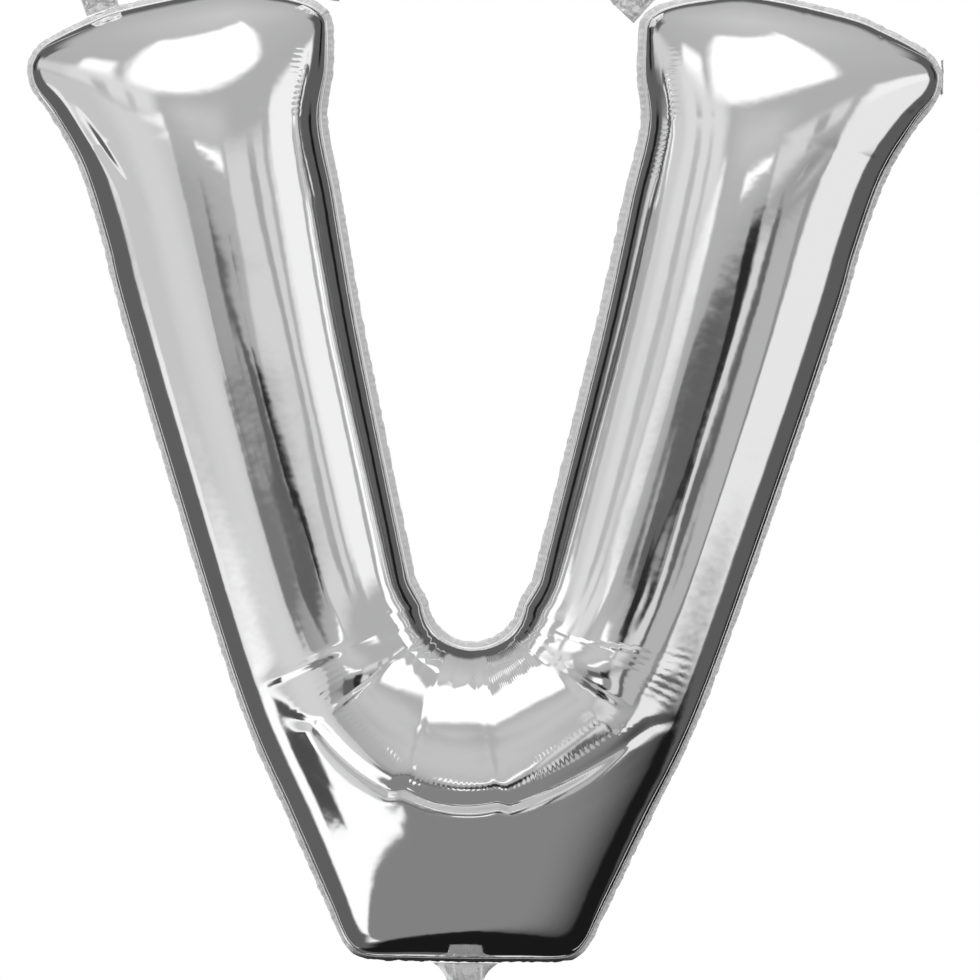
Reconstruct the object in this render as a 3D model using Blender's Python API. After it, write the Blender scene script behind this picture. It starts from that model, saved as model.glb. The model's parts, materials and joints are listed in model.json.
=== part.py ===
"""A foil balloon in the shape of a letter V, about 86 cm tall.

Two foil sheets are welded edge to edge and filled with gas. The letter stands in the XZ plane with its
front towards -Y. Its halves are mirrored about X = 0, and then the whole letter sways a little to +X, as a
soft balloon does. The origin is the middle of the bottom edge of the seam flange, where the filling neck
starts and the holding ribbon is tied. Lengths are in metres.
"""

import bmesh
import bpy
import numpy as np
from math import cos, pi, radians, sin, tau
from mathutils import Matrix

# Foil and weld
WALL = 0.003
FLANGE_WIDTH = 0.006
FLANGE_THICKNESS = 0.0008
SHEET_GAP = 0.0003
FOLD_GAP = 0.0009

# Outline of the flange's outer edge, right half, from the bottom up: (across, up)
NOTCH_CENTRE_HEIGHT = 0.322
NOTCH_RADIUS = 0.040
BOTTOM_SEAM = ((0.0, 0.0), (0.045, 0.0005), (0.0885, 0.002))
BOTTOM_CORNER = ((0.107, 0.0145), (0.1235, 0.048))
OUTER_LEG = ((0.1592, 0.125), (0.2070, 0.232), (0.2800, 0.451), (0.3205, 0.581), (0.3330, 0.628))
OUTER_HEAD = ((0.3545, 0.693), (0.3800, 0.739), (0.3975, 0.764))
OUTER_CORNER = ((0.4020, 0.784), (0.3975, 0.798), (0.3860, 0.808))
TOP_EDGE = ((0.3546, 0.8245), (0.3182, 0.839), (0.2350, 0.8565), (0.1850, 0.853), (0.1550, 0.846))
INNER_CORNER = ((0.1410, 0.838), (0.1365, 0.826))
INNER_HEAD = ((0.1345, 0.785), (0.1380, 0.740))
INNER_LEG = ((0.1250, 0.678), (0.1165, 0.6335), (0.0994, 0.548), (0.0665, 0.4024), (0.0510, 0.3356))
SWAY = 0.0105

# Half thickness of the gas-filled letter
LEG_HALF_DEPTH = 0.092
BASE_HALF_DEPTH = 0.100
HEAD_HALF_DEPTH = 0.098
HEAD_ROUNDING = 0.105
WAIST_HEIGHT = 0.715
WAIST_DIP = 0.05
WAIST_LENGTH = 0.035

# Folds that fan out from the bottom of the notch
FAN_CREASES = (12.5, 50.0, 68.75)
FAN_CREASE_DEPTH = 0.009
FAN_CREASE_WIDTH = 5.0
FAN_RADIUS = 0.165
FAN_FADE = 0.045
FAN_STEP = 6.25
FAN_STEPS = 13

# Mesh density of the skin
LEG_STEPS = 24
ACROSS_STEPS = 12

# Filling neck and its valve
NECK_LENGTH = 0.070
NECK_WIDTH = 0.032
NECK_ROOT_WIDTH = 0.060
NECK_FLARE_LENGTH = 0.018
NECK_DEPTH = 0.0086
NECK_WALL = 0.0008
NECK_STEPS = 12
NECK_SIDES = 28
NECK_ROOT_WALL = 0.002
NECK_FOLD_GAP = 0.0008
VALVE_WIDTH = 0.018
VALVE_LENGTH = 0.022
VALVE_THICKNESS = 0.001

# Hanging tabs: name, place on the flange's edge, lean of the tab from straight up, fold out of the plane
TAB_WIDTH = 0.030
TAB_LENGTH = 0.034
TAB_THICKNESS = 0.0008
TAB_CORNER = 0.008
TAB_HOLE_RADIUS = 0.003
TAB_HOLE_HEIGHT = 0.022
TABS = (
    ("tab_left_outer", (-0.3268, 0.8280), -20.0, 0.0),
    ("tab_left_inner", (-0.1360, 0.8440), 8.0, 0.0),
    ("tab_right_inner", (0.1490, 0.8385), -48.0, 0.0),
    ("tab_right_outer", (0.4105, 0.7840), 90.0, 90.0),
)


def clear_scene():
    for old in list(bpy.data.objects):
        bpy.data.objects.remove(old, do_unlink=True)


def material(name, colour, roughness, metallic, alpha=1.0):
    made = bpy.data.materials.new(name)
    made.use_nodes = True
    shader = made.node_tree.nodes["Principled BSDF"]
    shader.inputs["Base Color"].default_value = (*colour, 1.0)
    shader.inputs["Roughness"].default_value = roughness
    shader.inputs["Metallic"].default_value = metallic
    shader.inputs["Alpha"].default_value = alpha
    made.diffuse_color = (*colour, alpha)
    return made


def add_object(name, mesh_data, finish, smooth_angle=None):
    """Turn a bmesh into a named object with one material."""
    mesh = bpy.data.meshes.new(name)
    mesh_data.to_mesh(mesh)
    mesh_data.free()
    mesh.materials.append(finish)
    if smooth_angle is not None:
        mesh.shade_smooth()
        mesh.set_sharp_from_angle(angle=radians(smooth_angle))
    made = bpy.data.objects.new(name, mesh)
    bpy.context.scene.collection.objects.link(made)
    return made


def smooth_line(points, spacing=0.002):
    """Dense, evenly spaced points on a smooth curve through a few hand-placed ones."""
    p = np.array(points, float)
    p = np.vstack([2 * p[0] - p[1], p, 2 * p[-1] - p[-2]])
    dense = []
    for a, b, c, d in zip(p, p[1:], p[2:], p[3:]):
        for t in np.linspace(0.0, 1.0, 24, endpoint=False):
            dense.append(0.5 * (2 * b + (c - a) * t + (2 * a - 5 * b + 4 * c - d) * t**2
                                + (3 * b - a - 3 * c + d) * t**3))
    dense.append(p[-2])
    dense = np.array(dense)
    reach = np.concatenate([[0], np.cumsum(np.linalg.norm(np.diff(dense, axis=0), axis=1))])
    places = np.linspace(0.0, reach[-1], int(reach[-1] / spacing) + 2)
    return np.column_stack([np.interp(places, reach, dense[:, k]) for k in (0, 1)])


def moved_inwards(line, distance):
    """The same curve moved sideways, to the left of its own direction."""
    along = np.gradient(line, axis=0)
    along /= np.linalg.norm(along, axis=1)[:, None]
    return line + distance * np.column_stack([-along[:, 1], along[:, 0]])


def share_of_length(line, shares):
    """Points at the given shares of a curve's length."""
    reach = np.concatenate([[0], np.cumsum(np.linalg.norm(np.diff(line, axis=0), axis=1))])
    return np.column_stack([np.interp(np.asarray(shares) * reach[-1], reach, line[:, k]) for k in (0, 1)])


def weld_lines():
    """Outer side, top and inner side of the right half of the weld line, inside the flange."""
    outer = smooth_line(BOTTOM_SEAM + BOTTOM_CORNER + OUTER_LEG + OUTER_HEAD + OUTER_CORNER[:2])
    top = smooth_line(OUTER_CORNER[1:] + TOP_EDGE + INNER_CORNER[:1])
    inner = smooth_line(INNER_CORNER + INNER_HEAD + INNER_LEG)
    return [moved_inwards(line, FLANGE_WIDTH) for line in (outer, top, inner)]


def fan_ribs(outer):
    """Straight lines across the skin from the notch's arc to the outer weld, in even angles."""
    centre = np.array([0.0, NOTCH_CENTRE_HEIGHT])
    angles = np.degrees(np.arctan2(outer[:, 0], NOTCH_CENTRE_HEIGHT - outer[:, 1]))
    radius = NOTCH_RADIUS + FLANGE_WIDTH
    ribs = []
    for step in range(FAN_STEPS + 1):
        angle = step * FAN_STEP
        away = np.array([sin(radians(angle)), -cos(radians(angle))])
        far = np.array([np.interp(angle, angles, outer[:, k]) for k in (0, 1)])
        ribs.append((centre + radius * away, far))
    ribs[0][1][0] = 0.0
    return ribs


def leg_ribs(outer, inner, first):
    """Straight lines across the leg, from the fan's last rib to the top corners."""
    start_outer = np.argmin(np.linalg.norm(outer - first[1], axis=1))
    inner_up = inner[::-1]
    start_inner = np.argmin(np.linalg.norm(inner_up - first[0], axis=1)) + 1
    outer_part = np.vstack([first[1], outer[start_outer + 1:]])
    inner_part = np.vstack([first[0], inner_up[start_inner + 1:]])
    shares = np.linspace(0.0, 1.0, LEG_STEPS + 1) ** 0.92
    return list(zip(share_of_length(inner_part, shares), share_of_length(outer_part, shares)))


def half_grid():
    """Places in the letter's plane and heights above it: rows along the right half, columns across."""
    outer, top, inner = weld_lines()
    fan = fan_ribs(outer)
    leg = leg_ribs(outer, inner, fan[-1])
    turns = np.linspace(0.0, pi, ACROSS_STEPS + 1)
    across = 0.5 * (1.0 - np.cos(turns))
    crown = share_of_length(top[::-1], across)
    rows = [near + np.outer(across, far - near) for near, far in fan]
    last = leg[-1][0] + np.outer(across, leg[-1][1] - leg[-1][0])
    for step, (near, far) in enumerate(leg[1:], 1):
        row = near + np.outer(across, far - near)
        rows.append(row + (step / LEG_STEPS) ** 6 * (crown - last))
    places = np.array(rows)
    return places, np.array([heights(row, turns, crown) for row in places])


def heights(row, turns, crown):
    """Half thickness of the balloon along one row: half an ellipse, closed off towards the top edge."""
    middle = row[len(row) // 2]
    rise = np.clip((middle[1] - NOTCH_CENTRE_HEIGHT) / 0.3, -0.6, 1.0)
    low = BASE_HALF_DEPTH + (LEG_HALF_DEPTH - BASE_HALF_DEPTH) * np.clip(rise + 0.6, 0.0, 1.0)
    high = (HEAD_HALF_DEPTH - LEG_HALF_DEPTH) * np.clip((middle[1] - WAIST_HEIGHT) / 0.06, 0.0, 1.0)
    waist = 1.0 - WAIST_DIP * np.exp(-(((row[:, 1] - WAIST_HEIGHT) / WAIST_LENGTH) ** 2))
    top_here = np.interp(row[:, 0], crown[:, 0], crown[:, 1])
    below = np.clip((top_here - row[:, 1]) / HEAD_ROUNDING, 0.0, 1.0)
    closing = np.sqrt(1.0 - (1.0 - below) ** 2)
    return ((low + high) * waist * closing - fan_folds(row)) * np.sin(turns)


def fan_folds(row):
    """How far the radial creases under the notch sink into the skin."""
    away = np.hypot(row[:, 0], row[:, 1] - NOTCH_CENTRE_HEIGHT)
    angle = np.degrees(np.arctan2(row[:, 0], NOTCH_CENTRE_HEIGHT - row[:, 1]))
    fade = 1.0 / (1.0 + np.exp((away - FAN_RADIUS) / (0.25 * FAN_FADE)))
    sunk = sum(np.exp(-(((angle - crease) / FAN_CREASE_WIDTH) ** 2)) for crease in FAN_CREASES)
    return FAN_CREASE_DEPTH * fade * sunk


def whole_grid():
    """The half grid and its mirror image, as one grid from the left top edge to the right, leaning a little."""
    places, rise = half_grid()
    mirrored = places[:0:-1] * (-1.0, 1.0)
    both = np.concatenate([mirrored, places])
    both[:, :, 0] += SWAY * both[:, :, 1]
    return both, np.concatenate([rise[:0:-1], rise])


def rim_order(rows, columns):
    """Row and column of each point round the grid's edge, in order."""
    order = [(0, c) for c in range(columns)]
    order += [(r, columns - 1) for r in range(1, rows)]
    order += [(rows - 1, c) for c in range(columns - 2, -1, -1)]
    order += [(r, 0) for r in range(rows - 2, 0, -1)]
    return order


def foil_sheet(name, side, finish):
    """One inflated foil sheet: side is -1 for the front and 1 for the back."""
    places, rise = whole_grid()
    rows, columns = rise.shape
    seam_y = side * 0.5 * SHEET_GAP
    data = bmesh.new()
    skin = [[data.verts.new((places[r, c, 0], seam_y + side * rise[r, c], places[r, c, 1]))
             for c in range(columns)] for r in range(rows)]
    for r in range(rows - 1):
        for c in range(columns - 1):
            data.faces.new((skin[r][c], skin[r + 1][c], skin[r + 1][c + 1], skin[r][c + 1]))
    data.normal_update()
    facing = skin[rows // 2][columns // 2].normal.y * side
    rim = rim_order(rows, columns)
    lining = {}
    for r in range(rows):
        for c in range(columns):
            normal = skin[r][c].normal * (1.0 if facing > 0 else -1.0)
            if (r, c) in rim:
                normal.y = 0.0
                normal.normalize()
            lining[r, c] = data.verts.new(skin[r][c].co - WALL * normal)
    for r in range(rows - 1):
        for c in range(columns - 1):
            data.faces.new((lining[r, c], lining[r, c + 1], lining[r + 1, c + 1], lining[r + 1, c]))
    for (a, b), (d, e) in zip(rim, rim[1:] + rim[:1]):
        data.faces.new((skin[a][b], skin[d][e], lining[d, e], lining[a, b]))
    bmesh.ops.recalc_face_normals(data, faces=data.faces)
    return add_object(name, data, finish, smooth_angle=50.0)


def weld_loop():
    """The weld line all round the letter, as the sheets' rim follows it."""
    places, _ = whole_grid()
    rows, columns = places.shape[:2]
    return np.array([places[r, c] for r, c in rim_order(rows, columns)])


def offset_loop(loop, distance):
    """A closed line moved outwards, with its corners kept."""
    before = loop - np.roll(loop, 1, axis=0)
    after = np.roll(loop, -1, axis=0) - loop
    sides = []
    for edge in (before, after):
        edge = edge / np.linalg.norm(edge, axis=1)[:, None]
        sides.append(np.column_stack([edge[:, 1], -edge[:, 0]]))
    normal = sides[0] + sides[1]
    normal /= np.linalg.norm(normal, axis=1)[:, None]
    stretch = np.clip(np.einsum("ij,ij->i", normal, sides[0]), 0.6, 1.0)
    x, z = loop[:, 0], loop[:, 1]
    turning = np.sum(x * np.roll(z, -1) - np.roll(x, -1) * z)
    outwards = 1.0 if turning > 0 else -1.0
    return loop + outwards * distance * normal / stretch[:, None]


def seam_flange(finish):
    """The welded margin: a thin flat band outside the weld line."""
    loop = weld_loop()
    near = offset_loop(loop, SHEET_GAP)
    far = offset_loop(loop, FLANGE_WIDTH)
    data = bmesh.new()
    half = 0.5 * FLANGE_THICKNESS
    rings = []
    for line, y in ((near, -half), (far, -half), (far, half), (near, half)):
        rings.append([data.verts.new((x, y, z)) for x, z in line])
    for ring, following in zip(rings, rings[1:] + rings[:1]):
        for i in range(len(loop)):
            j = (i + 1) % len(loop)
            data.faces.new((ring[i], ring[j], following[j], following[i]))
    bmesh.ops.recalc_face_normals(data, faces=data.faces)
    return add_object("seam_flange", data, finish)


def neck_half_width(down):
    """Half width of the neck at a distance below its root: flared at the root, then straight."""
    flare = max(0.0, 1.0 - down / NECK_FLARE_LENGTH)
    return 0.5 * (NECK_WIDTH + (NECK_ROOT_WIDTH - NECK_WIDTH) * flare**2)


def neck_ring(data, down, shrink):
    """One oval ring of the neck's wall."""
    wide = neck_half_width(down) - shrink
    puff = sin(min(1.0, (down + 0.004) / NECK_FLARE_LENGTH) * 0.5 * pi)
    deep = 0.5 * NECK_DEPTH * (0.35 + 0.65 * puff) - shrink
    turns = (tau * k / NECK_SIDES for k in range(NECK_SIDES))
    return [data.verts.new((wide * cos(t), deep * sin(t), -down)) for t in turns]


def join_rings(data, rings):
    for ring, following in zip(rings, rings[1:]):
        for i in range(NECK_SIDES):
            j = (i + 1) % NECK_SIDES
            data.faces.new((ring[i], following[i], following[j], ring[j]))


def filling_neck(finish, hinge):
    """A flat foil tube, closed at the root and open at the mouth."""
    data = bmesh.new()
    depths = [NECK_FOLD_GAP + NECK_LENGTH * (k / NECK_STEPS) ** 1.4 for k in range(NECK_STEPS + 1)]
    outside = [neck_ring(data, down, 0.0) for down in depths]
    first = NECK_FOLD_GAP + NECK_ROOT_WALL
    inner_depths = [first] + [down for down in depths if down > first + 0.001]
    inside = [neck_ring(data, down, NECK_WALL) for down in inner_depths]
    join_rings(data, outside + inside[::-1])
    data.faces.new(outside[0])
    data.faces.new(inside[0])
    bmesh.ops.recalc_face_normals(data, faces=data.faces)
    neck = add_object("filling_neck", data, finish, smooth_angle=50.0)
    neck.parent = hinge
    return neck


def valve_film(finish, hinge):
    """The flat film valve inside the root of the neck."""
    data = bmesh.new()
    bmesh.ops.create_cube(data, size=1.0)
    bmesh.ops.scale(data, vec=(VALVE_WIDTH, VALVE_THICKNESS, VALVE_LENGTH), verts=data.verts)
    top = -NECK_FOLD_GAP - NECK_ROOT_WALL - SHEET_GAP
    bmesh.ops.translate(data, vec=(0.0, 0.0, top - 0.5 * VALVE_LENGTH), verts=data.verts)
    valve = add_object("valve_film", data, finish)
    valve.parent = hinge
    return valve


def tab_outline():
    """Half round top corners over a straight root, counter-clockwise from the root's left end."""
    half = 0.5 * TAB_WIDTH
    root = 0.5 * FOLD_GAP
    points = [(-half, root), (half, root)]
    for centre, start in ((half - TAB_CORNER, 0.0), (TAB_CORNER - half, 0.5 * pi)):
        for k in range(5):
            angle = start + 0.125 * pi * k
            points.append((centre + TAB_CORNER * cos(angle), TAB_LENGTH - TAB_CORNER + TAB_CORNER * sin(angle)))
    return points


def seated_place(place, lean):
    """The fold line's middle, moved along the tab until the tab's root just clears the flange."""
    edge = offset_loop(weld_loop(), FLANGE_WIDTH)
    shares = np.linspace(0.0, 1.0, 8, endpoint=False)[:, None, None]
    dense = (edge + shares * (np.roll(edge, -1, axis=0) - edge)).reshape(-1, 2) - place
    up = np.array([sin(radians(lean)), cos(radians(lean))])
    beside = np.array([up[1], -up[0]])
    under = dense[np.abs(dense @ beside) < 0.5 * TAB_WIDTH + SHEET_GAP]
    highest = max(under[np.linalg.norm(under, axis=1) < TAB_WIDTH] @ up)
    return np.array(place) + (highest + 0.5 * FOLD_GAP) * up


def hanging_tab(name, place, lean, fold, finish):
    """A foil tab with a punched hole, hinged at its root on the flange's edge."""
    hinge = bpy.data.objects.new(name + "_fold", None)
    bpy.context.scene.collection.objects.link(hinge)
    turn = Matrix.Rotation(radians(lean), 4, "Y") @ Matrix.Rotation(radians(-fold), 4, "X")
    across, up = seated_place(place, lean)
    hinge.matrix_world = Matrix.Translation((across, 0.0, up)) @ turn
    print(name, "fold line", round(across, 5), round(up, 5))
    data = bmesh.new()
    half = 0.5 * TAB_THICKNESS
    front = data.faces.new([data.verts.new((x, -half, z)) for x, z in tab_outline()])
    grown = bmesh.ops.extrude_face_region(data, geom=[front])
    moved = [v for v in grown["geom"] if isinstance(v, bmesh.types.BMVert)]
    bmesh.ops.translate(data, vec=(0.0, TAB_THICKNESS, 0.0), verts=moved)
    bmesh.ops.recalc_face_normals(data, faces=data.faces)
    tab = add_object(name, data, finish)
    tab.parent = hinge
    punch = punch_for(name, tab, hinge)
    cut = tab.modifiers.new("punched hole", "BOOLEAN")
    cut.operation = "DIFFERENCE"
    cut.solver = "EXACT"
    cut.object = punch
    return tab


def punch_for(name, tab, hinge):
    """The round punch that makes a tab's hanging hole."""
    data = bmesh.new()
    bmesh.ops.create_cone(data, cap_ends=True, segments=16, radius1=TAB_HOLE_RADIUS, radius2=TAB_HOLE_RADIUS,
                          depth=6.0 * TAB_THICKNESS, matrix=Matrix.Rotation(0.5 * pi, 4, "X"))
    bmesh.ops.translate(data, vec=(0.0, 0.0, TAB_HOLE_HEIGHT), verts=data.verts)
    punch = add_object(name + "_punch", data, tab.data.materials[0])
    punch.parent = hinge
    punch.hide_render = True
    punch.display_type = "WIRE"
    return punch


def build():
    clear_scene()
    silver = material("silver_foil", (0.86, 0.86, 0.87), 0.06, 1.0)
    silver_back = material("silver_foil_back", (0.84, 0.84, 0.85), 0.07, 1.0)
    margin = material("welded_margin", (0.80, 0.80, 0.81), 0.22, 1.0)
    clear_film = material("clear_film", (0.92, 0.93, 0.94), 0.15, 0.0, alpha=0.6)
    foil_sheet("front_sheet", -1.0, silver)
    foil_sheet("back_sheet", 1.0, silver_back)
    seam_flange(margin)
    neck_fold = bpy.data.objects.new("neck_fold", None)
    bpy.context.scene.collection.objects.link(neck_fold)
    filling_neck(margin, neck_fold)
    valve_film(clear_film, neck_fold)
    for name, place, lean, fold in TABS:
        hanging_tab(name, place, lean, fold, margin)


build()
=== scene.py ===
# %% [markdown]
# # A silver foil letter balloon, dressed over its CAD frame
# The object is an inflated letter V of silver foil: a front and a back sheet welded together along a narrow
# margin, a filling neck with a film valve at the bottom, and four foil tabs with punched holes at the top.
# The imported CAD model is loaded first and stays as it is. Everything made here lies in the same frame, in
# metres: X is across the letter, Z is up, and the front faces -Y.
# %% The frame, and the tools used later
import json
from math import cos, pi, radians, sin, tau

import bmesh
import bpy
import numpy as np
from mathutils import Matrix, Vector


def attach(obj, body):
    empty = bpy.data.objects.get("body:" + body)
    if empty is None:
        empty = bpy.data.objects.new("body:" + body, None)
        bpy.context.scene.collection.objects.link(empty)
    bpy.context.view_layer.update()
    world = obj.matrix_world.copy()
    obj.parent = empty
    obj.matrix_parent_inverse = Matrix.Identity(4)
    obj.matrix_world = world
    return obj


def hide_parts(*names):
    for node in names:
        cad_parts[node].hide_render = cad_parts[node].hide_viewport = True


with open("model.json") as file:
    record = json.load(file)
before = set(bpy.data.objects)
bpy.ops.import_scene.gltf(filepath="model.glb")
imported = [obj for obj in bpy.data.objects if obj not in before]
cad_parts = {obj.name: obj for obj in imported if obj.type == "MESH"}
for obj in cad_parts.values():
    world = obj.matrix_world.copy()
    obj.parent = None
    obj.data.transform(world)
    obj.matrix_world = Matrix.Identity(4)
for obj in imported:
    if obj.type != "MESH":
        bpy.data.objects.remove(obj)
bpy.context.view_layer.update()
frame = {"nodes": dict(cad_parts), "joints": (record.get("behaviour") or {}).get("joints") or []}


def placed(name, data):
    """A new object in the scene."""
    made = bpy.data.objects.new(name, data)
    bpy.context.scene.collection.objects.link(made)
    return made


# %% [markdown]
# ## Camera
# The photograph looks straight at the letter from far away, so both legs show the same width of side wall
# and nothing converges. A long lens six metres off gives that. It is rolled by two thirds of a degree, as the
# balloon hung a little out of true, and it is level with the middle of what the picture shows.
# %% Camera
VIEW_HEIGHT = 0.41558
VIEW_ACROSS = 0.01677
VIEW_DISTANCE = 6.0
VIEW_WIDTH = 0.8624
VIEW_ROLL = radians(0.66)
SENSOR = 36.0

camera_data = bpy.data.cameras.new("camera")
camera_data.sensor_width = SENSOR
camera_data.lens = SENSOR * VIEW_DISTANCE / VIEW_WIDTH
camera_data.clip_start, camera_data.clip_end = 0.1, 100.0
camera = placed("camera", camera_data)
right = Vector((cos(VIEW_ROLL), 0.0, sin(VIEW_ROLL)))
up = Vector((-sin(VIEW_ROLL), 0.0, cos(VIEW_ROLL)))
back = Vector((0.0, -1.0, 0.0))
camera.matrix_world = Matrix.Translation((VIEW_ACROSS, -VIEW_DISTANCE, VIEW_HEIGHT)) @ Matrix(
    (right, up, back)).transposed().to_4x4()
bpy.context.scene.camera = camera
print("lens", round(camera_data.lens, 1), "mm")

# %% [markdown]
# ## A way to write shader maths
# A material is a graph of nodes, and a long graph is hard to read as a list of links. The class below wraps
# one output, so that ordinary arithmetic on it adds the Math nodes. Every other node comes from the maker: its
# settings go in first and then the values or links of its sockets.
# %% Shader maths
class Wire:
    """One number that comes out of a node; arithmetic on it adds Math nodes."""

    def __init__(self, maker, socket):
        self.maker, self.socket = maker, socket

    def math(self, operation, *values):
        return self.maker.node("ShaderNodeMath", {"operation": operation}, dict(enumerate(values)))

    def __add__(self, other):
        return self.math("ADD", self, other)

    def __radd__(self, other):
        return self.math("ADD", other, self)

    def __sub__(self, other):
        return self.math("SUBTRACT", self, other)

    def __rsub__(self, other):
        return self.math("SUBTRACT", other, self)

    def __mul__(self, other):
        return self.math("MULTIPLY", self, other)

    def __rmul__(self, other):
        return self.math("MULTIPLY", other, self)

    def __truediv__(self, other):
        return self.math("DIVIDE", self, other)

    def __rtruediv__(self, other):
        return self.math("DIVIDE", other, self)

    def clamped(self):
        return self.maker.node("ShaderNodeClamp", {}, {"Value": self})


class Maker:
    """Adds nodes to one tree."""

    def __init__(self, tree):
        self.tree = tree
        tree.nodes.clear()

    def node(self, kind, settings=None, inputs=None, output=0):
        made = self.tree.nodes.new(kind)
        for name, value in (settings or {}).items():
            if name == "stops":
                ramp = made.color_ramp
                while len(ramp.elements) < len(value):
                    ramp.elements.new(0.5)
                for stop, (place, tone) in zip(ramp.elements, value):
                    stop.position = place
                    stop.color = (tone, tone, tone, 1.0)
            else:
                setattr(made, name, value)
        for name, value in (inputs or {}).items():
            if isinstance(value, Wire):
                self.tree.links.new(value.socket, made.inputs[name])
            else:
                made.inputs[name].default_value = value
        return Wire(self, made.outputs[output])

    def finish(self, kind, surface):
        """Links the last node to the tree's output."""
        out = self.tree.nodes.new(kind)
        self.tree.links.new(surface.socket, out.inputs["Surface"])

    def noise(self, place, scale, detail, settings=None):
        return self.node("ShaderNodeTexNoise", settings, {"Vector": place, "Scale": scale, "Detail": detail})

    def stored(self, name):
        """A number that the mesh keeps for each point."""
        return self.node("ShaderNodeAttribute", {"attribute_name": name}, output=2)

    def folds(self, place, scale):
        return self.node("ShaderNodeTexVoronoi", {"feature": "DISTANCE_TO_EDGE"},
                         {"Vector": place, "Scale": scale})

    def bump(self, height):
        return self.node("ShaderNodeBump", {}, {"Height": height, "Strength": 1.0, "Distance": 1.0})

    def step(self, value, low, high):
        """Rises smoothly from 0 to 1 while value goes from low to high."""
        return self.node("ShaderNodeMapRange", {"interpolation_type": "SMOOTHSTEP"},
                         {"Value": value, "From Min": low, "From Max": high})

    def between(self, value, low, high, soft, reach):
        """1 between low and high, with soft edges; an edge past the reach of the value needs no nodes."""
        edges = []
        if low + soft > -reach:
            edges.append(self.step(value, low - soft, low + soft))
        if high - soft < reach:
            edges.append(1.0 - self.step(value, high - soft, high + soft))
        return edges[0] * edges[1] if len(edges) == 2 else edges[0]


def new_finish(name):
    """An empty material, the maker of its nodes, and the place on the object."""
    made = bpy.data.materials.new(name)
    made.use_nodes = True
    maker = Maker(made.node_tree)
    return made, maker, maker.node("ShaderNodeTexCoord", output=3)


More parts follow.
